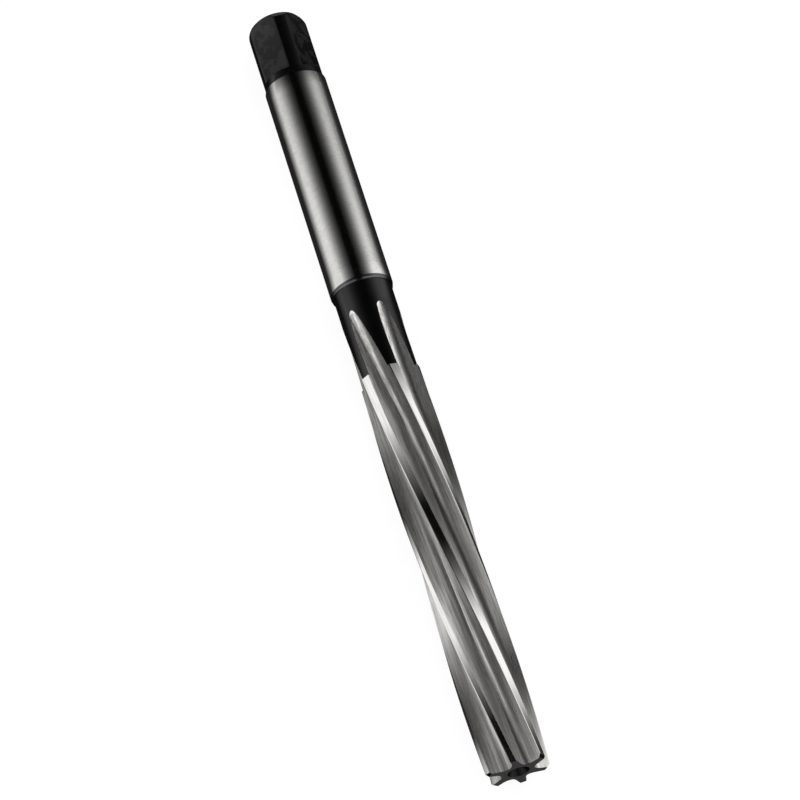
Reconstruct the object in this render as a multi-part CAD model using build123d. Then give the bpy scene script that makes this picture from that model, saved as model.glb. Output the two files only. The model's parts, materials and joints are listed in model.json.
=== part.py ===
from build123d import *

import os
from math import asin, cos, degrees, radians, sin, sqrt, tan

# Hand reamer, 10 mm, turned and ground from one bar of tool steel.
# It is worked out standing on its cutting end, with its axis on Z, and laid down at the end:
# the axis then runs along Y, the cutting end points to -Y and the teeth rest on Z = 0.

# Lengths along the axis
overall_length = 133.0
cutting_length = 66.5
neck_length = 15.4
drive_length = 12.45
square_length = 11.0

# Diameters
cutting_diameter = 10.0
neck_diameter = 9.2
shank_diameter = 9.92
drive_diameter = 9.42
core_diameter = 4.84

# Driving square, ends and shoulders
square_across_flats = 7.85
drive_end_round = 1.75
drive_end_bevel = 0.8
neck_end_bevel = 0.6
neck_end_step = 0.2
tooth_bevel = 0.45
lead_length = 16.0
lead_drop = 0.04

# Centre hole in each end
pilot_diameter = 1.6
pilot_depth = 3.5
centre_diameter = 3.35
centre_angle = 60.0

# Teeth, spaced unevenly against chatter; opposite teeth stay in line
tooth_spacing = (62.08, 59.88, 58.04)
first_tooth_turn = -54.0
helix_lead = 225.0
cutting_face_angle = 24.0
heel_wall_angle = 44.5
flute_bottom_angle = 76.0
flute_hollow_radius = 1.8
margin_width = 0.1
relief_angle = 12.0
relief_width = 1.6

# Run-out of each flute, where the tilted grinding wheel lifted out through the neck
wheel_radius = 150.0
wheel_tilt = 8.5
runout_in_teeth = 8.3

# How far a cutter reaches past the metal, and how many strips and sections shape it
over = 1.0
face_strips = 3
heel_strips = 2
lead_stations = 3
tooth_stations = 10
runout_stations = 8

cutting_radius = cutting_diameter / 2
neck_radius = neck_diameter / 2
shank_radius = shank_diameter / 2
drive_radius = drive_diameter / 2
core_radius = core_diameter / 2
shank_start = cutting_length + neck_length
drive_start = overall_length - drive_length
runout_length = sqrt(wheel_radius**2 - (wheel_radius - neck_radius + core_radius) ** 2)
full_depth_end = cutting_length - runout_in_teeth
wall_of_centre = tan(radians(centre_angle / 2))


def helix_turn(height):
    """How far a tooth has turned at a height: clockwise going up, so the spiral is left-hand."""
    return -360 * height / helix_lead


def blank():
    """The turned bar, before the flutes and the square, drawn as radius against height."""
    lead_radius = cutting_radius - lead_drop
    outline = Polyline(
        (drive_radius - drive_end_round, overall_length),
        (0, overall_length),
        (0, 0),
        (lead_radius - tooth_bevel, 0),
        (lead_radius, tooth_bevel),
        (cutting_radius, lead_length),
        (cutting_radius, cutting_length),
        (neck_radius, cutting_length),
        (neck_radius, shank_start),
        (neck_radius + neck_end_step, shank_start),
        (shank_radius, shank_start + neck_end_bevel),
        (shank_radius, drive_start),
        (drive_radius, drive_start + drive_end_bevel),
        (drive_radius, overall_length - drive_end_round),
    )
    end_round = RadiusArc(outline @ 1, outline @ 0, -drive_end_round)
    return revolve(Plane.XZ * make_face(outline + end_round), Axis.Z)


def centre_hole():
    """A centre hole with its pilot, from Z = 0 upwards."""
    pilot_radius = pilot_diameter / 2
    outline = Polyline(
        (0, -over),
        (centre_diameter / 2 + over * wall_of_centre, -over),
        (pilot_radius, (centre_diameter / 2 - pilot_radius) / wall_of_centre),
        (pilot_radius, pilot_depth),
        (0, pilot_depth + pilot_radius * wall_of_centre),
        close=True,
    )
    return revolve(Plane.XZ * make_face(outline), Axis.Z)


def around_square():
    """What the mill takes off the drive end: all that lies outside the square."""
    size = drive_diameter + 2 * over
    below = (Align.CENTER, Align.CENTER, Align.MIN)
    square = Box(square_across_flats, square_across_flats, square_length + over, align=below)
    all_round = Box(size, size, square_length + over, align=below)
    return Pos(0, 0, overall_length - square_length) * Rot(0, 0, 45) * (all_round - square)


def wall_turn(wall_angle):
    """Angle round the axis from the flute's crease to where a wall meets the cutting diameter."""
    hollow = flute_hollow_radius * (1 - cos(radians(flute_bottom_angle - wall_angle)))
    offset = core_radius * sin(radians(wall_angle)) - hollow
    return wall_angle - degrees(asin(offset / cutting_radius))


def flute_section(height):
    """Flute at a height: two hollow walls that meet in a crease, in strips.

    In the run-out the wheel only lifts, and its tilt takes the crease aside.
    """
    past = max(height - full_depth_end, 0)
    lift = wheel_radius - sqrt(wheel_radius**2 - past**2)
    aside = past * tan(radians(wheel_tilt))
    turn = helix_turn(height - past) - wall_turn(cutting_face_angle)
    middle = core_radius + flute_hollow_radius * sin(radians(flute_bottom_angle)) + lift
    drop = flute_hollow_radius * cos(radians(flute_bottom_angle))
    rim = cutting_radius + over + lift
    face_span = (flute_bottom_angle - cutting_face_angle) / face_strips
    heel_span = (flute_bottom_angle - heel_wall_angle) / heel_strips
    face_start = 90 + cutting_face_angle
    heel_start = 270 - flute_bottom_angle
    strips = [
        CenterArc((middle, -drop), flute_hollow_radius, face_start + face_span * strip, face_span)
        for strip in range(face_strips)
    ]
    strips += [
        CenterArc((middle, drop), flute_hollow_radius, heel_start + heel_span * strip, heel_span)
        for strip in range(heel_strips)
    ]
    face_foot, heel_foot = strips[0] @ 0, strips[-1] @ 1
    walls = Polyline(
        face_foot,
        (rim, face_foot.Y + (rim - face_foot.X) * tan(radians(cutting_face_angle))),
        (rim, heel_foot.Y - (rim - heel_foot.X) * tan(radians(heel_wall_angle))),
        heel_foot,
    )
    outline = make_face([*strips, *walls.edges()])
    return Pos(0, 0, height) * Rot(0, 0, turn) * Pos(0, -aside, 0) * outline


def relief_section(height):
    """The flat relief behind a cutting edge at a height, with the sliver of round margin kept."""
    slope = Vector(-sin(radians(relief_angle)), cos(radians(relief_angle)))
    lead_left = max(lead_length - height, 0) / lead_length
    edge = Vector(cutting_radius - lead_drop * lead_left, margin_width)
    start = edge - slope * over
    end = edge + slope * relief_width
    rim = cutting_radius + over
    outline = Polyline(start, end, (rim, end.Y), (rim, start.Y), close=True)
    return Pos(0, 0, height) * Rot(0, 0, helix_turn(height)) * make_face(outline)


def heights(start, end, count):
    """Evenly spaced heights from the start, without the end itself."""
    return [start + (end - start) * step / count for step in range(count)]


def flute():
    """One flute: on the helix along the teeth, then rising out of the neck."""
    end = full_depth_end + runout_length + over
    stations = heights(-over, full_depth_end, tooth_stations)
    stations += heights(full_depth_end, end, runout_stations) + [end]
    return loft([flute_section(height) for height in stations])


def relief():
    """The relief of one tooth, from the cutting end to the neck."""
    end = cutting_length + over
    stations = heights(-over, lead_length, lead_stations)
    stations += heights(lead_length, end, tooth_stations) + [end]
    return loft([relief_section(height) for height in stations])


def tooth_turns():
    """The angle of each cutting edge at the cutting end."""
    turn = first_tooth_turn
    for space in tooth_spacing * 2:
        yield turn
        turn += space


def reamer():
    """The whole tool, lying along Y."""
    tool = blank() - around_square() - centre_hole()
    tool -= Pos(0, 0, overall_length) * Rot(180, 0, 0) * centre_hole()
    one_flute, one_relief = flute(), relief()
    tool -= [Rot(0, 0, turn) * one_flute for turn in tooth_turns()]
    tool -= [Rot(0, 0, turn) * one_relief for turn in tooth_turns()]
    return Pos(0, -overall_length / 2, cutting_radius) * Rot(-90, 0, 0) * tool


if __name__ == "__main__":
    os.makedirs("parts", exist_ok=True)
    body = reamer()
    export_step(body, "parts/reamer.step")
    print("solids", len(body.solids()), "valid", body.is_valid, "volume", round(body.volume, 1))
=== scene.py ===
import json
from math import acos, asin, atan2, cos, hypot, pi, radians, sin, sqrt, tan

import bmesh
import bpy
from bpy.props import FloatProperty, FloatVectorProperty, IntProperty, PointerProperty
from bpy.types import Operator, Panel, PropertyGroup
from mathutils import Matrix, Vector


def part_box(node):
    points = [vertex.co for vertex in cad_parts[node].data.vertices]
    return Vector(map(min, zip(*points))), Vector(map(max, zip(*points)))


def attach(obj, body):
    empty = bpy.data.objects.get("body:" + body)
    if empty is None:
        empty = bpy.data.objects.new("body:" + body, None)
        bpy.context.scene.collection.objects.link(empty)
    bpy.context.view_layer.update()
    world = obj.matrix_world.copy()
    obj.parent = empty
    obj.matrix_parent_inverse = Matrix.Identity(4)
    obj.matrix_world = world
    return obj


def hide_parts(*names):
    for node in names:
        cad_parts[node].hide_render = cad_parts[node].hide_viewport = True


bl_info = {
    "name": "Hand Reamer",
    "version": (1, 0, 0),
    "blender": (4, 5, 0),
    "location": "3D View > Sidebar > Reamer",
    "description": "Ground and blackened finish for a spiral-fluted hand reamer, with its studio",
    "category": "Add Mesh",
}

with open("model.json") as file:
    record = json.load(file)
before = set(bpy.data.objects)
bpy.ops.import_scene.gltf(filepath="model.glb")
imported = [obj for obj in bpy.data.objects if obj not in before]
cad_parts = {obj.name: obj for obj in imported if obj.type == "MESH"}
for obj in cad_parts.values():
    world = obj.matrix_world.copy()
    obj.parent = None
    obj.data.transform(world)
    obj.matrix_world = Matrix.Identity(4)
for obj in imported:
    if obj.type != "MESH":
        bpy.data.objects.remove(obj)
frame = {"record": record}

NODE = "reamer"
BODY = "root"
LOWEST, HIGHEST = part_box(NODE)
MOUNTS = {mount["name"]: mount for mount in frame["record"]["mounts"]}
MM = 0.001
HALF_WIDTH = min((HIGHEST - LOWEST).x, (HIGHEST - LOWEST).z) / 2
AXIS_HEIGHT = (LOWEST.z + HIGHEST.z) / 2

# Angles from each cutting edge to the next, uneven against chatter; opposite teeth stay in line
TOOTH_SPACING = [radians(space) for space in (62.08, 59.88, 58.04)] * 2
TEETH = len(TOOTH_SPACING)

# Points that a flute has at its two rims, besides the steps up its walls
RIM_POINTS = 5

# Points nearer than JOIN are merged, and a face within SLACK of a place counts as lying there
JOIN = 1e-6
SLACK = 0.02 * MM

# How often a search along the flute's profile is halved, and how far it reaches
HALVINGS = 32
FURTHEST = 10 * MM

# How much a face's normal agrees with a direction: nearly in full, or as much as a bevel's does
STRAIGHT_ON = 0.9
SLOPING = 0.5

# Edges sharper than these are rounded, or drawn hard
ROUNDED_ANGLE = radians(28)
HARD_ANGLE = radians(25)


def length(name, millimetres, description):
    """A size, written in millimetres and kept in metres."""
    metres = millimetres * MM
    return FloatProperty(name=name, description=description, default=metres, precision=5, unit="LENGTH")


def angle(name, degrees, description):
    """An angle, written in degrees and kept in radians."""
    return FloatProperty(name=name, description=description, default=radians(degrees), unit="ROTATION")


def number(name, value, description):
    """A plain number, such as a roughness or a brightness."""
    return FloatProperty(name=name, description=description, default=value, precision=3)


def steps(name, value, description):
    """How many facets or rings a shape has."""
    return IntProperty(name=name, description=description, default=value, min=1)


def grey(name, red, green, blue, description):
    """A colour, as the share of red, green and blue light that it gives back."""
    return FloatVectorProperty(
        name=name, description=description, default=(red, green, blue), size=3, min=0, max=1, subtype="COLOR"
    )


class ReamerSizes(PropertyGroup):
    overall_length: length("Overall length", (HIGHEST - LOWEST).y / MM, "From end to end")
    cutting_length: length("Cutting length", 66.5, "Length of the teeth")
    neck_length: length("Neck length", 15.4, "From the teeth to the shank's shoulder")
    drive_length: length("Drive length", 12.45, "From the end of the bright shank to the driving end")
    square_length: length("Square length", 11.0, "Length of the driving square")
    cutting_radius: length("Cutting radius", HALF_WIDTH / MM, "Half of the cutting diameter")
    neck_radius: length("Neck radius", 4.6, "Half of the neck's diameter")
    shank_radius: length("Shank radius", MOUNTS["shank"]["dims"]["r_mm"], "Half of the shank's diameter")
    drive_radius: length("Drive radius", 4.71, "Half of the diameter of the collar and the square's corners")
    core_radius: length("Core radius", 2.42, "Radius of the steel left under the flutes")
    half_square: length("Half square", 3.925, "From the axis to a flat of the driving square")
    end_round: length("End round", 1.75, "Radius of the driving end's edge")
    drive_end_bevel: length("Drive end bevel", 0.8, "Length of the bevel between shank and collar")
    neck_end_bevel: length("Neck end bevel", 0.6, "Length of the bevel between shank and neck")
    neck_end_step: length("Neck end step", 0.2, "Height of the step from the neck to that bevel")
    tooth_bevel: length("Tooth bevel", 0.45, "Bevel of each tooth at the cutting end")
    lead_length: length("Lead length", 16.0, "Length of the slight taper at the cutting end")
    lead_drop: length("Lead drop", 0.04, "How much smaller the radius is at the very end")
    pilot_radius: length("Pilot radius", 0.8, "Radius of the centre hole's pilot")
    pilot_depth: length("Pilot depth", 3.5, "Depth of the centre hole's pilot")
    centre_radius: length("Centre radius", 3.35 / 2, "Radius of the centre hole's mouth")
    centre_slant: angle("Centre slant", 30, "Half of the centre hole's cone")
    helix_lead: length("Helix lead", 225.0, "Length in which a tooth goes once round")
    cutting_face_angle: angle("Cutting face angle", 24, "Slant of the cutting face to the flute's middle")
    heel_wall_angle: angle("Heel wall angle", 44.5, "Slant of the heel wall to the flute's middle")
    bottom_angle: angle("Bottom angle", 76, "Slant of both walls where they meet in the flute's crease")
    hollow_radius: length("Hollow radius", 1.8, "Radius of the hollow at the foot of each wall")
    margin_width: length("Margin width", 0.1, "Width of the round margin behind each cutting edge")
    relief_angle: angle("Relief angle", 16, "Slant of the flat relief behind the margin")
    wheel_radius: length("Wheel radius", 150.0, "Radius of the grinding wheel that lifts out of each flute")
    wheel_tilt: angle("Wheel tilt", 8.5, "Slant of the grinding wheel against the tool's axis")
    runout_in_teeth: length("Run-out in teeth", 8.3, "How far before the neck the wheel starts to lift")
    edge_break: length("Edge break", 0.05, "Rounding of the turned and milled edges")
    first_tooth_turn: angle("First tooth", -54, "Place of the first tooth at the cutting end")


class ReamerMeshing(PropertyGroup):
    heel_steps: steps("Heel steps", 12, "Facets up a flute's heel wall")
    face_steps: steps("Face steps", 14, "Facets up a flute's cutting face")
    land_steps: steps("Land steps", 16, "Facets from one flute to the next")
    tooth_rings: steps("Tooth rings", 80, "Rings along the teeth")
    runout_rings: steps("Run-out rings", 28, "Rings along the run-outs")
    shank_rings: steps("Shank rings", 16, "Rings along the shank")
    round_rings: steps("Round rings", 6, "Rings round the driving end's edge")
    break_steps: steps("Break steps", 2, "Facets round a broken edge")


class ReamerFinish(PropertyGroup):
    steel: grey("Ground steel", 0.62, 0.615, 0.6, "Colour of the bright ground steel")
    steel_shade: grey("Steel shade", 0.5, 0.495, 0.48, "Colour of its darker grinding lines")
    # Painted light: the lands' colours are lighter than the shank's ground steel, for brighter highlights on
    # the teeth
    brightened_land_steel: grey("Land steel", 0.78, 0.775, 0.76, "Colour of the teeth's lands")
    brightened_land_shade: grey("Land shade", 0.66, 0.655, 0.64, "Colour of their darker grinding lines")
    flute_steel: grey("Flute steel", 0.78, 0.772, 0.755, "Colour of the flutes")
    flute_shade: grey("Flute shade", 0.42, 0.412, 0.398, "Colour of the flutes' darker grinding lines")
    worn: grey("Worn shoulder", 0.1, 0.1, 0.1, "Colour of the shoulder, where the oxide is worn")
    worn_shade: grey("Worn shade", 0.07, 0.07, 0.07, "Colour of the shoulder's darker lines")
    # The blackened steel's two colours are also used as painted shade in the centre holes and on the teeth's
    # bevels
    oxide: grey("Black oxide", 0.001, 0.001, 0.001, "Colour of the blackened steel")
    oxide_worn: grey("Worn oxide", 0.003, 0.003, 0.003, "Colour of the blackened steel where it is thin")
    oxide_handled: grey("Handled oxide", 0.017, 0.0168, 0.0165, "Colour of the square where it is handled")
    # Painted shade: the cutting end's ground face is given these dark greys instead of bright steel
    painted_end_shade: grey("End face", 0.05, 0.05, 0.05, "Colour of the dull cutting end")
    painted_end_grain_shade: grey("End shade", 0.0425, 0.0425, 0.0425, "Colour of the cutting end's darker grain")
    heel_roughness: number("Heel wall roughness", 0.37, "Roughness of the flutes' heel walls")
    face_roughness: number("Cutting face roughness", 0.31, "Roughness of the teeth's cutting faces")
    land_roughness: number("Land roughness", 0.16, "Roughness of the teeth's lands")
    shank_roughness: number("Shank roughness", 0.16, "Roughness of the shank")
    oxide_roughness: number("Oxide roughness", 0.2, "Roughness of the blackened steel")
    worn_roughness: number("Worn shoulder roughness", 0.21, "Roughness of the worn shoulder")
    end_roughness: number("End face roughness", 0.54, "Roughness of the dull cutting end")
    # These two keep the painted black shade of the centre holes and the teeth's bevels dull
    black_shade_roughness: number("Scale roughness", 0.35, "Roughness of the black scale")
    oxide_gloss: number("Oxide gloss", 0.36, "How strongly the blackened steel reflects")
    black_shade_gloss: number("Scale gloss", 0.1, "How strongly the black scale reflects")
    heel_depth: length("Heel streak depth", 0.04, "Depth of the heel walls' grinding streaks")
    face_depth: length("Face streak depth", 0.007, "Depth of the cutting faces' grinding streaks")
    land_depth: length("Land line depth", 0.002, "Depth of the grinding lines on the lands and the shoulder")
    shank_depth: length("Shank line depth", 0.001, "Depth of the grinding lines round the shank")
    grain_depth: length("Grain depth", 0.003, "Depth of the fine grain of the dull and black surfaces")


class ReamerStudio(PropertyGroup):
    camera_distance: length("Camera distance", 574.19, "From the camera to the point that it looks at")
    camera_azimuth: angle("Camera azimuth", -25.256, "Turn of the camera round the tool")
    camera_elevation: angle("Camera elevation", 60.352, "Height of the camera above the horizon")
    camera_roll: angle("Camera roll", -10.426, "Lean of the camera about its own line of sight")
    aim_right: length("Aim right", 0.39, "Place that the camera looks at, across the tool")
    aim_along: length("Aim along", -3.78, "Place that the camera looks at, along the tool")
    lens: number("Lens", 171.12, "Focal length on a 36 mm sensor")
    floor_size: length("Floor size", 3000.0, "From the middle of the floor to its edge")
    floor_colour: grey("Floor", 0.8, 0.8, 0.8, "Colour of the pale floor")
    tent_radius: length("Tent radius", 400.0, "Radius of the light tent over the tool")
    tent_length: length("Tent length", 1800.0, "Length of the light tent")
    tent_steps: steps("Tent steps", 90, "Facets round the light tent")
    left_glow: number("Left glow", 1.29, "Brightness of the tent's left lamp")
    right_glow: number("Right glow", 1.05, "Brightness of the tent's right lamp")
    front_glow: number("Front glow", 1.25, "Brightness of the tent before the cutting end")
    world_glow: number("World glow", 0.95, "Brightness of the light from all round")
    left_place: angle("Left place", -87.5, "Where the left lamp shines through the tent, from straight up")
    right_place: angle("Right place", 61.9, "Where the right lamp shines through the tent, from straight up")
    left_spread: angle("Left spread", 32, "How far the left lamp's light spreads")
    right_spread: angle("Right spread", 27.5, "How far the right lamp's light spreads")
    gap_place: angle("Gap place", -9.4, "Middle of the dark gap that the camera looks through")
    gap_half_width: angle("Gap half width", 13.5, "Half of the dark gap's width")


class ToolFinishSettings(PropertyGroup):
    sizes: PointerProperty(type=ReamerSizes)
    meshing: PointerProperty(type=ReamerMeshing)
    finish: PointerProperty(type=ReamerFinish)
    studio: PointerProperty(type=ReamerStudio)


# The tool is worked out standing on its cutting end, with its axis on Z, and laid down at the end.
# Places along it come from the sizes.


def shank_start(sizes):
    return sizes.cutting_length + sizes.neck_length


def drive_start(sizes):
    return sizes.overall_length - sizes.drive_length


def square_start(sizes):
    return sizes.overall_length - sizes.square_length


def bevel_radius(sizes):
    """Radius of the teeth at the very end of the tool."""
    return sizes.cutting_radius - sizes.lead_drop - sizes.tooth_bevel


def tooth_radius(sizes, height):
    return sizes.cutting_radius - sizes.lead_drop * max(1 - height / sizes.lead_length, 0)


def flute_past(sizes, height):
    """How far a height lies past the start of the run-out."""
    return max(height - sizes.cutting_length + sizes.runout_in_teeth, 0)


def flute_lift(sizes, height):
    """How far the grinding wheel has lifted out of the flute at a height."""
    return sizes.wheel_radius - sqrt(sizes.wheel_radius**2 - flute_past(sizes, height) ** 2)


def helix_turn(sizes, height):
    """How far a tooth has turned at a height: clockwise going up, so the spiral is left-hand."""
    return -2 * pi * height / sizes.helix_lead


def tooth_turn(sizes, tooth):
    """Where a cutting edge starts at the cutting end. Tooth six is the first one again, a turn on."""
    return sizes.first_tooth_turn + sum(TOOTH_SPACING[:tooth])


def wall_turn(sizes, wall):
    """Angle round the axis from a flute's crease to where a wall meets the cutting diameter."""
    hollow = sizes.hollow_radius * (1 - cos(sizes.bottom_angle - wall))
    return wall - asin((sizes.core_radius * sin(wall) - hollow) / sizes.cutting_radius)


def flute_turn(sizes, flute, height):
    """Turn of a flute's crease. In the run-out the wheel only lifts and moves aside."""
    held = height - flute_past(sizes, height)
    return tooth_turn(sizes, flute) + helix_turn(sizes, held) - wall_turn(sizes, sizes.cutting_face_angle)


def turned(point, turn):
    return Matrix.Rotation(turn, 2) @ point


def evenly(start, end, count):
    """Evenly spaced values from the start on, without the end itself."""
    return [start + (end - start) * step / count for step in range(count)]


def circle(radius, height, turns):
    """Points round the axis at a height, one at each turn."""
    return [Vector((radius * cos(turn), radius * sin(turn), height)) for turn in turns]


# A flute's profile is measured by reach: the distance along it from the crease, positive on the
# cutting face and negative on the heel wall.


def profile(sizes, height, reach):
    """A point of the profile at a height, and the way on from there, away from the crease."""
    side, wall = (1, sizes.cutting_face_angle) if reach > 0 else (-1, sizes.heel_wall_angle)
    slope = max(sizes.bottom_angle - abs(reach) / sizes.hollow_radius, wall)
    straight = abs(reach) - sizes.hollow_radius * (sizes.bottom_angle - slope)
    aside = flute_past(sizes, height) * tan(sizes.wheel_tilt)
    crease = Vector((sizes.core_radius + flute_lift(sizes, height), -aside))
    hollow = Vector((sin(sizes.bottom_angle) - sin(slope), side * (cos(slope) - cos(sizes.bottom_angle))))
    way = Vector((cos(slope), side * sin(slope)))
    return crease + hollow * sizes.hollow_radius + way * straight, way


def halved(low, high, passed):
    """Where a test that fails at the low end and passes at the high end changes over."""
    for _ in range(HALVINGS):
        middle = (low + high) / 2
        if passed(middle):
            high = middle
        else:
            low = middle
    return high


def nearest_reach(sizes, height):
    """Where the profile comes nearest to the axis: in the crease, or past it on the cutting face."""

    def rising(reach):
        point, way = profile(sizes, height, reach)
        return point.dot(way) > 0

    return halved(0, FURTHEST, rising)


def least_radius(sizes, height):
    return profile(sizes, height, nearest_reach(sizes, height))[0].length


def reach_to_radius(sizes, height, side, radius):
    """Where the profile comes out to a radius, on the cutting face (1) or on the heel wall (-1)."""
    nearest = nearest_reach(sizes, height)

    def outside(further):
        return profile(sizes, height, nearest + side * further)[0].length > radius

    return nearest + side * halved(0, FURTHEST, outside)


def flute_tip(sizes):
    """Height where a flute ends, because its nearest point has come out to the neck."""

    def outside(height):
        return least_radius(sizes, height) > sizes.neck_radius

    return halved(sizes.cutting_length, shank_start(sizes), outside)


def relief_plane(sizes, height):
    """A point of the relief behind the edge at angle 0, and the plane's normal."""
    edge = Vector((tooth_radius(sizes, height), sizes.margin_width))
    return edge, Vector((cos(sizes.relief_angle), sin(sizes.relief_angle)))


def heel_rim_reach(sizes, flute, height):
    """Where a heel wall meets the relief of the tooth before it."""
    far, way = profile(sizes, height, -FURTHEST)
    edge_turn = tooth_turn(sizes, flute - 1) + helix_turn(sizes, height) - flute_turn(sizes, flute, height)
    point, normal = relief_plane(sizes, height)
    point, normal = turned(point, edge_turn), turned(normal, edge_turn)
    return -FURTHEST - (point - far).dot(normal) / way.dot(normal)


def flute_reaches(sizes, meshing, flute, height, rim, toothed):
    """Reaches of a flute's points, from the heel's rim over the crease to the cutting edge.

    Two points near each rim keep the radii where the neck and the end bevel cut the walls.
    """
    low = min(rim, max(bevel_radius(sizes), (least_radius(sizes, height) + rim) / 2))
    middle = min(rim, sizes.neck_radius) if height > sizes.tooth_bevel else low
    heel = [reach_to_radius(sizes, height, -1, radius) for radius in (rim, middle, low)]
    face = [reach_to_radius(sizes, height, 1, radius) for radius in (low, middle, rim)]
    if toothed:
        heel[0] = heel_rim_reach(sizes, flute, height)
    crease = max(heel[0], 0)
    heel = [min(reach, crease) for reach in heel]
    up_heel = evenly(heel[2], crease, meshing.heel_steps)
    up_face = evenly(crease, face[0], meshing.face_steps)
    return heel[:2] + up_heel + up_face + face


def flute_points(sizes, meshing, flute, height, rim, toothed):
    turn = flute_turn(sizes, flute, height)
    reaches = flute_reaches(sizes, meshing, flute, height, rim, toothed)
    return [turned(profile(sizes, height, reach)[0], turn) for reach in reaches]


def flute_count(meshing):
    """How many points a flute has in a ring."""
    return meshing.heel_steps + meshing.face_steps + RIM_POINTS


def tooth_land(sizes, count, tooth, height, heel):
    """Points between a cutting edge and its heel: the margin's end, then along the flat relief."""
    point, normal = relief_plane(sizes, height)
    across = Vector((-normal.y, normal.x))
    depth = point.dot(normal)
    margin = normal * depth - across * sqrt(tooth_radius(sizes, height) ** 2 - depth**2)
    margin = turned(margin, tooth_turn(sizes, tooth) + helix_turn(sizes, height))
    return [margin.lerp(heel, step / (count - 1)) for step in range(count - 1)]


def round_land(radius, count, start, end):
    """Points on a circle between two flutes, without the flutes' own."""
    first = atan2(start.y, start.x)
    sweep = (atan2(end.y, end.x) - first) % (2 * pi)
    turns = [first + sweep * step / count for step in range(1, count)]
    return [Vector((cos(turn), sin(turn))) * radius for turn in turns]


def fluted_ring(sizes, meshing, height, toothed):
    """One section of the teeth or the neck, as points at a height."""
    rim = tooth_radius(sizes, height) if toothed else sizes.neck_radius
    flutes = [flute_points(sizes, meshing, flute, height, rim, toothed) for flute in range(TEETH)]
    ring = []
    for tooth, points in enumerate(flutes):
        heel = flutes[(tooth + 1) % TEETH][0]
        if toothed:
            land = tooth_land(sizes, meshing.land_steps, tooth, height, heel)
        else:
            land = round_land(rim, meshing.land_steps, points[-1], heel)
        ring += points + land
    return [point.to_3d() + Vector((0, 0, height)) for point in ring]


def bevelled_rings(sizes, meshing):
    """The two rings of the cutting end: the flat end's outline, and where the bevel meets the teeth."""
    inner = bevel_radius(sizes)
    outer, end = [], []
    for point in fluted_ring(sizes, meshing, 0, True):
        rise = max(point.length - inner, 0)
        outer.append(Matrix.Rotation(helix_turn(sizes, rise), 3, "Z") @ point + Vector((0, 0, rise)))
        end.append(point * min(inner / point.length, 1))
    return end, outer


def spots(meshing):
    """For each point of a ring, its place among the points left when every flute has closed."""
    flute = [0] * flute_count(meshing)
    sector = flute + list(range(1, meshing.land_steps))
    return [tooth * meshing.land_steps + spot for tooth in range(TEETH) for spot in sector]


def square_spot(sizes, meshing, spot, radius):
    """A point of the driving square's section, whose corners are rounded at a radius."""
    per_side = TEETH * meshing.land_steps // 4
    flat_steps = per_side // 2
    side, step = divmod(spot, per_side)
    half_flat = sqrt(max(radius**2 - sizes.half_square**2, 0))
    distance = min(radius, sizes.half_square)
    if step <= flat_steps:
        point = Vector((distance, half_flat * (2 * step / flat_steps - 1)))
    else:
        corner = atan2(half_flat, distance)
        turn = corner + (pi / 2 - 2 * corner) * (step - flat_steps) / (per_side - flat_steps)
        point = Vector((cos(turn), sin(turn))) * radius
    return turned(point, pi / 4 + side * pi / 2)


def start_ring(bm, points):
    ring = bmesh.ops.create_circle(bm, segments=len(points), radius=1)["verts"]
    for vertex, point in zip(ring, points):
        vertex.co = point
    return ring


def next_ring(bm, ring, points):
    """Extrudes a ring and moves the new vertices to their places."""
    pairs = zip(ring, ring[1:] + ring[:1])
    grown = bmesh.ops.extrude_edge_only(bm, edges=[bm.edges.get(pair) for pair in pairs])["geom"]
    fresh = {item for item in grown if isinstance(item, bmesh.types.BMVert)}

    def grown_from(vertex):
        ends = [edge.other_vert(vertex) for edge in vertex.link_edges]
        return next(end for end in ends if end in fresh)

    new_ring = [grown_from(vertex) for vertex in ring]
    for vertex, point in zip(new_ring, points):
        vertex.co = point
    return new_ring


def fluted_part(bm, sizes, meshing):
    """The teeth and the run-outs, ring after ring. Gives the outline of the end and the last ring."""
    end, outer = bevelled_rings(sizes, meshing)
    outline = start_ring(bm, end)
    margins = [sector * (len(end) // TEETH) + flute_count(meshing) for sector in range(TEETH)]
    heights = evenly(0, sizes.cutting_length, meshing.tooth_rings)[1:] + [sizes.cutting_length]
    ring = outline
    for points in [outer] + [fluted_ring(sizes, meshing, height, True) for height in heights]:
        new_ring = next_ring(bm, ring, points)
        for margin in margins:
            bm.edges.get((ring[margin], new_ring[margin])).smooth = False
        ring = new_ring
    tip = flute_tip(sizes)
    for step in range(meshing.runout_rings + 1):
        left = (1 - step / meshing.runout_rings) ** 2
        height = tip - (tip - sizes.cutting_length) * left
        ring = next_ring(bm, ring, fluted_ring(sizes, meshing, height, False))
    return outline, ring


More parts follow.
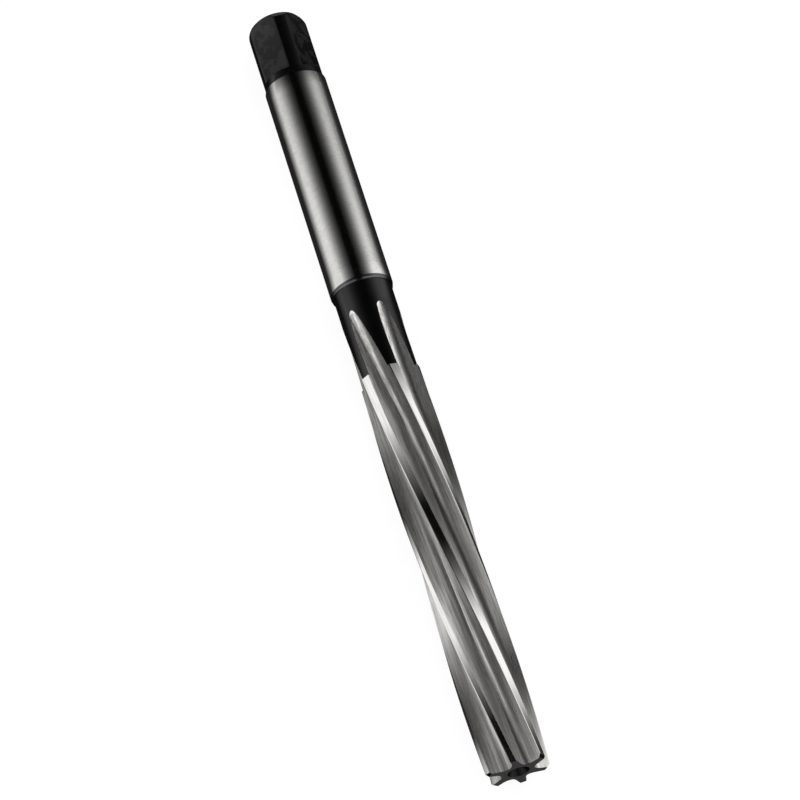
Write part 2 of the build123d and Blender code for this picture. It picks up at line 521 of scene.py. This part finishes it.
def turned_part(bm, sizes, meshing, ring):
    """The plain neck, the shank and the collar, with the ring's points drifting to the square's.

    Gives the last ring, and the place in the square of each of its points.
    """
    order = spots(meshing)
    count = TEETH * meshing.land_steps
    free = {spot: atan2(vertex.co.y, vertex.co.x) for vertex, spot in zip(ring, order)}
    squared = []
    for spot in range(count):
        point = square_spot(sizes, meshing, spot, sizes.drive_radius)
        squared.append(atan2(point.y, point.x))
    ahead = min(range(count), key=lambda shift: abs(cos(free[0] - squared[shift]) - 1))
    drift = [(squared[(spot + ahead) % count] - free[spot] + pi) % (2 * pi) - pi for spot in range(count)]
    shoulder, shank_end = shank_start(sizes), drive_start(sizes)
    bright_start = shoulder + sizes.neck_end_bevel
    outline = [
        (sizes.neck_radius, shoulder, 0),
        (sizes.neck_radius + sizes.neck_end_step, shoulder, 0),
    ]
    for step in range(meshing.shank_rings + 1):
        share = step / meshing.shank_rings
        outline.append((sizes.shank_radius, bright_start + (shank_end - bright_start) * share, share))
    outline.append((sizes.drive_radius, shank_end + sizes.drive_end_bevel, 1))
    outline.append((sizes.drive_radius, square_start(sizes), 1))
    for radius, height, share in outline:
        turns = [free[spot] + drift[spot] * share for spot in order]
        ring = next_ring(bm, ring, circle(radius, height, turns))
    return ring, [(spot + ahead) % count for spot in order]


def squared_part(bm, sizes, meshing, ring, order):
    """The driving square with its rounded end, and the centre hole in it."""
    round_centre = sizes.overall_length - sizes.end_round
    inner = sizes.drive_radius - sizes.end_round
    flats_end = acos((sizes.half_square - inner) / sizes.end_round)
    turns = evenly(0, flats_end, meshing.round_rings)
    turns += evenly(flats_end, pi / 2, meshing.round_rings) + [pi / 2]
    outline = [(sizes.drive_radius, square_start(sizes))]
    for turn in turns:
        outline.append((inner + sizes.end_round * cos(turn), round_centre + sizes.end_round * sin(turn)))
    for radius, depth in centre_profile(sizes):
        outline.append((radius, sizes.overall_length - depth))
    for radius, height in outline:
        section = [square_spot(sizes, meshing, spot, radius).to_3d() for spot in order]
        ring = next_ring(bm, ring, [point + Vector((0, 0, height)) for point in section])


def centre_profile(sizes):
    """Radius and depth along a centre hole, from its mouth to its point."""
    slope = tan(sizes.centre_slant)
    return [
        (sizes.centre_radius, 0),
        (sizes.pilot_radius, (sizes.centre_radius - sizes.pilot_radius) / slope),
        (sizes.pilot_radius, sizes.pilot_depth),
        (0, sizes.pilot_depth + sizes.pilot_radius * slope),
    ]


def cutting_end(bm, sizes, meshing, outline):
    """The flat face between the teeth's outline and the centre hole, and the hole itself."""
    turns = evenly(0, 2 * pi, TEETH * meshing.land_steps)
    mouth, *deeper = [circle(radius, depth, turns) for radius, depth in centre_profile(sizes)]
    ring = start_ring(bm, mouth)
    for points in deeper:
        ring = next_ring(bm, ring, points)
    bmesh.ops.remove_doubles(bm, verts=outline, dist=JOIN)

    def borders_face(edge):
        return edge.is_boundary and all(abs(vertex.co.z) < JOIN for vertex in edge.verts)

    borders = [edge for edge in bm.edges if borders_face(edge)]
    bmesh.ops.triangle_fill(bm, edges=borders, use_beauty=True, normal=(0, 0, -1))


def finish_of(sizes, face):
    """Which finish a face of the standing tool has, by where it lies."""
    heights = [vertex.co.z for vertex in face.verts]
    radii = [hypot(vertex.co.x, vertex.co.y) for vertex in face.verts]
    low, high = min(heights), max(heights)
    slant = abs(face.normal.z)
    # Painted shade: black inside the centre holes
    if max(radii) < sizes.centre_radius + SLACK:
        return painted_black_shade
    if low > shank_start(sizes) + sizes.neck_end_bevel - SLACK:
        return ground_shank if high < drive_start(sizes) + SLACK else black_oxide
    if low > shank_start(sizes) - sizes.edge_break - SLACK:
        return worn_shoulder
    if low > sizes.cutting_length - SLACK and min(radii) > sizes.neck_radius - SLACK / 2:
        return black_oxide
    # Painted shade: dark grey on the cutting end's ground face
    if high < SLACK and slant > STRAIGHT_ON:
        return painted_dark_end
    # Painted shade: black on the teeth's bevels
    if high < sizes.tooth_bevel + SLACK and SLOPING < slant < STRAIGHT_ON:
        return painted_black_shade
    middle = face.calc_center_median()
    outward = Vector((middle.x, middle.y, 0)).normalized()
    if min(radii) > bevel_radius(sizes) - SLACK and outward.dot(face.normal) > STRAIGHT_ON:
        return ground_lands
    return ground_heels if outward.cross(face.normal).z > 0 else ground_faces


def break_edges(bm, sizes, meshing):
    """Rounds the turned and milled edges past the flutes, and leaves the cutting edges sharp."""
    past = flute_tip(sizes) + JOIN

    def breaks(edge):
        beyond = all(vertex.co.z > past for vertex in edge.verts)
        return beyond and edge.is_manifold and edge.calc_face_angle() > ROUNDED_ANGLE

    bmesh.ops.bevel(
        bm,
        geom=[edge for edge in bm.edges if breaks(edge)],
        offset=sizes.edge_break,
        offset_type="OFFSET",
        affect="EDGES",
        segments=meshing.break_steps,
        profile=0.5,
        clamp_overlap=True,
        material=-1,
    )


def lie_down(bm, sizes):
    """Lays the standing tool along Y, with its cutting end at -Y and its teeth on the floor."""
    centre = (LOWEST + HIGHEST) / 2
    place = Matrix.Translation((0, centre.y - sizes.overall_length / 2, AXIS_HEIGHT))
    bmesh.ops.transform(bm, matrix=place @ Matrix.Rotation(-pi / 2, 4, "X"), verts=bm.verts)


class NodeTree:
    """Short ways to add nodes to a material or to the world."""

    def __init__(self, owner, output="ShaderNodeOutputMaterial"):
        owner.use_nodes = True
        self.tree = owner.node_tree
        self.tree.nodes.clear()
        self.output = self.add(output)

    def add(self, kind, **settings):
        node = self.tree.nodes.new(kind)
        for name, value in settings.items():
            setattr(node, name, value)
        return node

    def plug(self, socket, value):
        """Links a socket to another one, or gives it a plain value."""
        if isinstance(value, bpy.types.NodeSocket):
            self.tree.links.new(value, socket)
        else:
            socket.default_value = value

    def show(self, shader):
        self.plug(self.output.inputs["Surface"], shader)

    def math(self, operation, value, *others):
        """Joins values by an operation, one after the other, or changes a single value by it."""
        for other in others or (0.0,):
            node = self.add("ShaderNodeMath", operation=operation)
            self.plug(node.inputs[0], value)
            self.plug(node.inputs[1], other)
            value = node.outputs[0]
        return value

    def spread(self, value, low, high, to_low=0.0, to_high=1.0):
        """Takes the range from low to high to another one, and holds what lies past its ends."""
        node = self.add("ShaderNodeMapRange")
        for socket, amount in zip(node.inputs, (value, low, high, to_low, to_high)):
            self.plug(socket, amount)
        return node.outputs[0]

    def split(self, vector):
        node = self.add("ShaderNodeSeparateXYZ")
        self.plug(node.inputs[0], vector)
        return node.outputs

    def length(self, vector):
        node = self.add("ShaderNodeVectorMath", operation="LENGTH")
        self.plug(node.inputs[0], vector)
        return node.outputs["Value"]

    def stretched(self, vector, scale):
        """Draws a pattern out along the axes whose scale is below 1."""
        node = self.add("ShaderNodeMapping")
        self.plug(node.inputs["Vector"], vector)
        node.inputs["Scale"].default_value = scale
        return node.outputs[0]

    def noise(self, vector, scale, detail, roughness=0.55):
        node = self.add("ShaderNodeTexNoise")
        self.plug(node.inputs["Vector"], vector)
        node.inputs["Scale"].default_value = scale
        node.inputs["Detail"].default_value = detail
        node.inputs["Roughness"].default_value = roughness
        return node.outputs[0]

    def blend(self, share, first, second):
        node = self.add("ShaderNodeMix", data_type="RGBA")
        self.plug(node.inputs["Factor"], share)
        for place, colour in zip(MIX_COLOURS, (first, second)):
            linked = isinstance(colour, bpy.types.NodeSocket)
            self.plug(node.inputs[place], colour if linked else (*colour, 1))
        return node.outputs[MIX_RESULT]

    def bump(self, height, distance):
        node = self.add("ShaderNodeBump")
        node.inputs["Distance"].default_value = distance
        self.plug(node.inputs["Height"], height)
        return node.outputs[0]

    def on_axis(self, helix_lead=None):
        """Object coordinates in millimetres about the tool's axis, with a helix's twist taken out."""
        centred = self.add("ShaderNodeMapping")
        self.plug(centred.inputs["Vector"], self.add("ShaderNodeTexCoord").outputs["Object"])
        centred.inputs["Location"].default_value = (0, 0, -AXIS_HEIGHT / MM)
        centred.inputs["Scale"].default_value = (1 / MM, 1 / MM, 1 / MM)
        if helix_lead is None:
            return centred.outputs[0]
        twist = 2 * pi / (helix_lead / MM)
        turn = self.add("ShaderNodeVectorRotate", rotation_type="Y_AXIS")
        self.plug(turn.inputs["Vector"], centred.outputs[0])
        self.plug(turn.inputs["Angle"], self.math("MULTIPLY", self.split(centred.outputs[0])["Y"], twist))
        return turn.outputs[0]

    def rough(self, pattern, middle, swing):
        """Roughness that swings about its middle, smoother where the pattern is high."""
        return self.spread(pattern, NOISE_LOW, NOISE_HIGH, middle + swing, middle - swing)

    def surface(self, colour, roughness, normal, metallic):
        shader = self.add("ShaderNodeBsdfPrincipled")
        self.plug(shader.inputs["Base Color"], colour)
        self.plug(shader.inputs["Roughness"], roughness)
        self.plug(shader.inputs["Normal"], normal)
        shader.inputs["Metallic"].default_value = metallic
        self.show(shader.outputs[0])
        return shader

    def emission(self, strength):
        glow = self.add("ShaderNodeEmission")
        self.plug(glow.inputs["Strength"], strength)
        return glow.outputs[0]


# Places of the Mix node's sockets that carry colours
MIX_COLOURS = (6, 7)
MIX_RESULT = 2

# Where the values of a noise pattern mostly lie
NOISE_LOW = 0.3
NOISE_HIGH = 0.7

# Share of the broad bands in the flutes' streaks
BAND_SHARE = 0.2

# In millimetres: how soon the square looks handled past its start, and how far from its rounded
# corners that look begins and ends
HANDLED_FADE = 1.0
CORNER_FADE = 0.2
CORNER_BLACK = 0.02


def ground_wall(nodes, sizes, finish, roughness, depth):
    """Steel with coarse grinding streaks along the flutes."""
    place = nodes.on_axis(sizes.helix_lead)
    streaks = nodes.noise(nodes.stretched(place, (1, 0.03, 1)), scale=3.6, detail=5, roughness=0.75)
    bands = nodes.noise(nodes.stretched(place, (1, 0.06, 1)), scale=0.9, detail=2)
    streaks = nodes.math("MULTIPLY", streaks, 1 - BAND_SHARE)
    both = nodes.math("ADD", streaks, nodes.math("MULTIPLY", bands, BAND_SHARE))
    colour = nodes.blend(nodes.spread(both, low=0.43, high=0.57), finish.flute_shade, finish.flute_steel)
    nodes.surface(colour, nodes.rough(both, roughness, swing=0.08), nodes.bump(both, depth), metallic=1)


def ground_heels(nodes, sizes, finish):
    ground_wall(nodes, sizes, finish, finish.heel_roughness, finish.heel_depth)


def ground_faces(nodes, sizes, finish):
    ground_wall(nodes, sizes, finish, finish.face_roughness, finish.face_depth)


def ground_lands(nodes, sizes, finish):
    """Bright steel with fine grinding lines along the teeth, in colours painted lighter than the shank's
    steel for brighter highlights.
    """
    place = nodes.stretched(nodes.on_axis(sizes.helix_lead), (1, 0.05, 1))
    lines = nodes.noise(place, scale=5.0, detail=4)
    colour = nodes.blend(nodes.spread(lines, low=0.35, high=0.65), finish.brightened_land_shade, finish.brightened_land_steel)
    rough = nodes.rough(lines, finish.land_roughness, swing=0.03)
    nodes.surface(colour, rough, nodes.bump(lines, finish.land_depth), metallic=1)


def ground_shank(nodes, sizes, finish):
    """Bright steel with fine grinding lines round the shank."""
    lines = nodes.noise(nodes.stretched(nodes.on_axis(), (0.12, 1, 0.12)), scale=9.0, detail=4)
    colour = nodes.blend(nodes.spread(lines, low=0.3, high=0.7), finish.steel_shade, finish.steel)
    rough = nodes.rough(lines, finish.shank_roughness, swing=0.03)
    nodes.surface(colour, rough, nodes.bump(lines, finish.shank_depth), metallic=1)


def black_oxide(nodes, sizes, finish):
    """Blackened steel, mottled on the flats of the driving square, where it is handled."""
    place = nodes.on_axis()
    square = (square_start(sizes) - sizes.overall_length / 2) / MM
    handled = nodes.spread(nodes.split(place)["Y"], square, square + HANDLED_FADE)
    corner = sizes.drive_radius / MM
    radius = nodes.length(nodes.stretched(place, (1, 0, 1)))
    flat = nodes.spread(radius, corner - CORNER_FADE, corner - CORNER_BLACK, to_low=1, to_high=0)
    patches = nodes.noise(place, scale=0.5, detail=5, roughness=0.6)
    grain = nodes.noise(place, scale=9.0, detail=3)
    worn = nodes.math("MULTIPLY", handled, flat, nodes.spread(patches, low=0.475, high=0.535))
    thin = nodes.blend(grain, finish.oxide, finish.oxide_worn)
    colour = nodes.blend(worn, thin, finish.oxide_handled)
    rough = nodes.rough(patches, finish.oxide_roughness, swing=0.05)
    shader = nodes.surface(colour, rough, nodes.bump(grain, finish.grain_depth), metallic=0)
    shader.inputs["Specular IOR Level"].default_value = finish.oxide_gloss


def worn_shoulder(nodes, sizes, finish):
    """Steel that shows dimly through the worn oxide on the shank's shoulder."""
    lines = nodes.noise(nodes.stretched(nodes.on_axis(), (0.15, 1, 0.15)), scale=6.0, detail=4)
    colour = nodes.blend(nodes.spread(lines, low=0.35, high=0.65), finish.worn_shade, finish.worn)
    rough = nodes.rough(lines, finish.worn_roughness, swing=0.03)
    nodes.surface(colour, rough, nodes.bump(lines, finish.land_depth), metallic=1)


def painted_dark_end(nodes, sizes, finish):
    """The ground face of the cutting end, in a dark matte grey that is painted shade."""
    grain = nodes.noise(nodes.on_axis(), scale=5.0, detail=4)
    colour = nodes.blend(grain, finish.painted_end_grain_shade, finish.painted_end_shade)
    rough = nodes.rough(grain, finish.end_roughness, swing=0.04)
    nodes.surface(colour, rough, nodes.bump(grain, finish.grain_depth), metallic=0)


def painted_black_shade(nodes, sizes, finish):
    """Dull black painted in as shade, in the centre holes and on the teeth's bevels."""
    grain = nodes.noise(nodes.on_axis(), scale=6.0, detail=3)
    # The blackened steel's colours, used here as painted shade
    colour = nodes.blend(grain, finish.oxide, finish.oxide_worn)
    rough = nodes.rough(grain, finish.black_shade_roughness, swing=0.05)
    shader = nodes.surface(colour, rough, nodes.bump(grain, finish.grain_depth), metallic=0)
    shader.inputs["Specular IOR Level"].default_value = finish.black_shade_gloss


FINISHES = (
    ground_heels,
    ground_faces,
    ground_lands,
    ground_shank,
    black_oxide,
    worn_shoulder,
    painted_dark_end,
    painted_black_shade,
)


class REAMER_OT_make_tool(Operator):
    """Make the reamer's finished skin, from the cutting end to the driving square"""

    bl_idname = "reamer.make_tool"
    bl_label = "Reamer"

    def execute(self, context):
        settings = context.scene.reamer_settings
        sizes, meshing = settings.sizes, settings.meshing
        bm = bmesh.new()
        outline, ring = fluted_part(bm, sizes, meshing)
        ring, order = turned_part(bm, sizes, meshing, ring)
        squared_part(bm, sizes, meshing, ring, order)
        cutting_end(bm, sizes, meshing, outline)
        bmesh.ops.remove_doubles(bm, verts=bm.verts, dist=JOIN)
        bmesh.ops.dissolve_degenerate(bm, dist=JOIN, edges=bm.edges)
        bmesh.ops.recalc_face_normals(bm, faces=bm.faces)
        break_edges(bm, sizes, meshing)
        if any(not edge.is_manifold for edge in bm.edges):
            raise RuntimeError("the reamer's skin isn't closed")
        for face in bm.faces:
            face.smooth = True
            face.material_index = FINISHES.index(finish_of(sizes, face))
        for edge in bm.edges:
            if edge.calc_face_angle() > HARD_ANGLE:
                edge.smooth = False
        lie_down(bm, sizes)
        mesh = bpy.data.meshes.new("ground_reamer")
        bm.to_mesh(mesh)
        bm.free()
        for finish in FINISHES:
            material = bpy.data.materials.new(finish.__name__)
            finish(NodeTree(material), sizes, settings.finish)
            mesh.materials.append(material)
        tool = bpy.data.objects.new("ground_reamer", mesh)
        context.scene.collection.objects.link(tool)
        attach(tool, BODY)
        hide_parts(NODE)
        return {"FINISHED"}


# The studio's light, as emission strengths. Places are in millimetres from the tool's middle: along
# it for the tent, the card and the front, and out to a side for the dark strips of the card.

# The tent and the card grow brighter towards the cutting end, by a share for each millimetre and
# up to a most
TENT_MIDDLE = 247.0
TENT_RISE = 0.0066
LEFT_MOST = 1.32
RIGHT_MOST = 1.6
CARD_MIDDLE = 33.0
CARD_RISE = 0.0082
CARD_MOST = 2.0

# Levels that the light stays under, so that the lands don't clip to white. The left lamp's level
# rises to its full glow between two places past the driving end
LEFT_LEVEL = 1.15
RIGHT_LEVEL = 1.32
CARD_LEVEL = 1.18
LEVEL_START = 150.0
LEVEL_FULL = 240.0

# The light before the cutting end, for what faces forward
FRONT_START = 0.0
FRONT_FULL = -90.0

# The card is black beside the tool and takes on the tent's light further out. On the left the dark
# strip narrows towards the cutting end. The slant follows the reflected rays, so the two lights meet
CARD_BLACK = 0.02
CARD_SLANT = 0.51
LEFT_DARK = 13.0
LEFT_DARK_AHEAD = 9.5
NARROW_START = 50.0
NARROW_FULL = -30.0
LEFT_FADE = 19.0
RIGHT_DARK = 20.0
RIGHT_FADE = 100.0
RIGHT_SHARE = 0.36

# The floor's own light where it is seen, and how much of its look that light makes
FLOOR_WHITE = 1.14
FLOOR_GLOW = 0.8

# The card reaches nearly to the tent's foot, a hair above the floor
CARD_REACH = 0.98
CARD_LIFT = SLACK / 4


def stage_object(context, name, bm, look):
    """Puts a piece of the stage in the scene, with a material that a function gives its look."""
    material = bpy.data.materials.new(name)
    look(NodeTree(material), context.scene.reamer_settings.studio)
    mesh = bpy.data.meshes.new(name)
    bm.to_mesh(mesh)
    bm.free()
    mesh.materials.append(material)
    placed = bpy.data.objects.new(name, mesh)
    context.scene.collection.objects.link(placed)
    return placed


def leave_to_gloss(placed):
    """Leaves a stage piece to the reflections alone."""
    placed.visible_camera = False
    placed.visible_diffuse = False
    placed.visible_shadow = False
    placed.visible_transmission = False


def seen_white(nodes):
    """One for the rays that see the white background: camera, glossy and transmission rays."""
    path = nodes.add("ShaderNodeLightPath").outputs
    return nodes.math("MAXIMUM", path["Is Camera Ray"], path["Is Glossy Ray"], path["Is Transmission Ray"])


def floor_look(nodes, studio):
    """A pale floor that is white to look at and keeps a soft shadow."""
    paper = nodes.add("ShaderNodeBsdfDiffuse")
    paper.inputs["Color"].default_value = (*studio.floor_colour, 1)
    mix = nodes.add("ShaderNodeMixShader")
    nodes.plug(mix.inputs[0], nodes.math("MULTIPLY", seen_white(nodes), FLOOR_GLOW))
    nodes.plug(mix.inputs[1], paper.outputs[0])
    nodes.plug(mix.inputs[2], nodes.emission(FLOOR_WHITE))
    nodes.show(mix.outputs[0])


def brighter_ahead(nodes, along, middle, rise, most):
    """How much brighter the light is towards the cutting end, with 1 at a place along the tool."""
    ahead = nodes.math("MULTIPLY", nodes.math("SUBTRACT", middle, along), rise)
    return nodes.math("MINIMUM", nodes.math("EXPONENT", ahead), most)


def tent_look(nodes, studio):
    """Cloth that two lamps shine through from outside, with a dark gap that the camera looks through."""
    place = nodes.split(nodes.on_axis())
    turn = nodes.math("ARCTAN2", place["X"], place["Z"])

    def lamp(middle, spread, glow, most, level):
        off = nodes.math("DIVIDE", nodes.math("SUBTRACT", turn, middle), spread)
        fade = nodes.math("EXPONENT", nodes.math("MULTIPLY", off, off, -1.0))
        ahead = brighter_ahead(nodes, place["Y"], TENT_MIDDLE, TENT_RISE, most)
        return nodes.math("MINIMUM", nodes.math("MULTIPLY", fade, glow, ahead), level)

    left_level = nodes.spread(place["Y"], LEVEL_START, LEVEL_FULL, LEFT_LEVEL, studio.left_glow)
    left = lamp(studio.left_place, studio.left_spread, studio.left_glow, LEFT_MOST, left_level)
    right = lamp(studio.right_place, studio.right_spread, studio.right_glow, RIGHT_MOST, RIGHT_LEVEL)
    front = nodes.spread(place["Y"], FRONT_START, FRONT_FULL, 0.0, studio.front_glow)
    from_gap = nodes.math("ABSOLUTE", nodes.math("SUBTRACT", turn, studio.gap_place))
    open_share = nodes.math("GREATER_THAN", from_gap, studio.gap_half_width)
    light = nodes.math("ADD", left, right, front)
    nodes.show(nodes.emission(nodes.math("MULTIPLY", light, open_share)))


def card_look(nodes, studio):
    """Black card round the tool, which takes on the tent's light further away."""
    place = nodes.split(nodes.on_axis())

    def side_light(side, dark, fade, glow):
        past = nodes.math("SUBTRACT", nodes.math("MULTIPLY", place["X"], side), dark)
        shade = nodes.math("EXPONENT", nodes.math("DIVIDE", nodes.math("MAXIMUM", past, 0.0), -fade))
        return nodes.math("MULTIPLY", nodes.math("SUBTRACT", 1.0, shade), glow)

    left_dark = nodes.spread(place["Y"], NARROW_FULL, NARROW_START, LEFT_DARK_AHEAD, LEFT_DARK)
    left = side_light(-1.0, left_dark, LEFT_FADE, studio.left_glow)
    right = side_light(1.0, RIGHT_DARK, RIGHT_FADE, studio.right_glow * RIGHT_SHARE)
    behind = nodes.math("MULTIPLY", nodes.math("ABSOLUTE", place["X"]), CARD_SLANT)
    along = nodes.math("SUBTRACT", place["Y"], behind)
    share = brighter_ahead(nodes, along, CARD_MIDDLE, CARD_RISE, CARD_MOST)
    light = nodes.math("MULTIPLY", nodes.math("ADD", left, right), share)
    nodes.show(nodes.emission(nodes.math("ADD", nodes.math("MINIMUM", light, CARD_LEVEL), CARD_BLACK)))


class REAMER_OT_make_studio(Operator):
    """Make the floor, the light tent, the black card, the world and the camera"""

    bl_idname = "reamer.make_studio"
    bl_label = "Studio"

    def execute(self, context):
        studio = context.scene.reamer_settings.studio
        self.floor(context, studio)
        self.tent(context, studio)
        self.card(context, studio)
        self.world(context, studio)
        self.camera(context, studio)
        context.scene.view_settings.view_transform = "Standard"
        return {"FINISHED"}

    def floor(self, context, studio):
        bm = bmesh.new()
        bmesh.ops.create_grid(bm, x_segments=1, y_segments=1, size=studio.floor_size)
        stage_object(context, "studio_floor", bm, floor_look)

    def tent(self, context, studio):
        bm = bmesh.new()
        half = studio.tent_length / 2
        start = bm.verts.new((-studio.tent_radius, -half, AXIS_HEIGHT))
        end = bm.verts.new((-studio.tent_radius, half, AXIS_HEIGHT))
        bmesh.ops.spin(
            bm,
            geom=[start, end, bm.edges.new((start, end))],
            cent=(0, 0, AXIS_HEIGHT),
            axis=(0, 1, 0),
            angle=pi,
            steps=studio.tent_steps,
            use_merge=False,
        )
        leave_to_gloss(stage_object(context, "studio_tent", bm, tent_look))

    def card(self, context, studio):
        bm = bmesh.new()
        bmesh.ops.create_grid(bm, x_segments=1, y_segments=1, size=studio.tent_radius * CARD_REACH)
        bmesh.ops.translate(bm, verts=bm.verts, vec=(0, 0, LOWEST.z + CARD_LIFT))
        leave_to_gloss(stage_object(context, "studio_card", bm, card_look))

    def world(self, context, studio):
        """Light from all round, and white where it is seen."""
        world = bpy.data.worlds.new("studio_world")
        context.scene.world = world
        world.cycles.sampling_method = "NONE"
        nodes = NodeTree(world, output="ShaderNodeOutputWorld")
        background = nodes.add("ShaderNodeBackground")
        strength = nodes.math("MAXIMUM", seen_white(nodes), studio.world_glow)
        nodes.plug(background.inputs["Strength"], strength)
        nodes.show(background.outputs[0])

    def camera(self, context, studio):
        data = bpy.data.cameras.new("photo_camera")
        data.lens = studio.lens
        data.clip_start = 0.01
        data.clip_end = 10
        camera = bpy.data.objects.new("photo_camera", data)
        context.scene.collection.objects.link(camera)
        azimuth, elevation = studio.camera_azimuth, studio.camera_elevation
        back = Vector((sin(azimuth) * cos(elevation), -cos(azimuth) * cos(elevation), sin(elevation)))
        aim = Vector((studio.aim_right, studio.aim_along, AXIS_HEIGHT))
        upright = back.to_track_quat("Z", "Y")
        camera.rotation_mode = "QUATERNION"
        camera.rotation_quaternion = upright @ Matrix.Rotation(-studio.camera_roll, 3, "Z").to_quaternion()
        camera.location = aim + back * studio.camera_distance
        context.scene.camera = camera


class REAMER_PT_panel(Panel):
    """The tool, its studio and all their settings"""

    bl_label = "Reamer"
    bl_space_type = "VIEW_3D"
    bl_region_type = "UI"
    bl_category = "Reamer"

    def draw(self, context):
        settings = context.scene.reamer_settings
        for operator in OPERATORS:
            self.layout.operator(operator.bl_idname)
        for group in (settings.sizes, settings.meshing, settings.finish, settings.studio):
            box = self.layout.box()
            for name in group.__annotations__:
                box.prop(group, name)


OPERATORS = (REAMER_OT_make_tool, REAMER_OT_make_studio)
GROUPS = (ReamerSizes, ReamerMeshing, ReamerFinish, ReamerStudio, ToolFinishSettings)
CLASSES = (*GROUPS, *OPERATORS, REAMER_PT_panel)


def register():
    for item in CLASSES:
        bpy.utils.register_class(item)
    bpy.types.Scene.reamer_settings = PointerProperty(type=ToolFinishSettings)


def unregister():
    del bpy.types.Scene.reamer_settings
    for item in reversed(CLASSES):
        bpy.utils.unregister_class(item)


def main():
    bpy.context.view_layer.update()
    register()
    bpy.ops.reamer.make_tool()
    bpy.ops.reamer.make_studio()


if __name__ == "__main__":
    main()
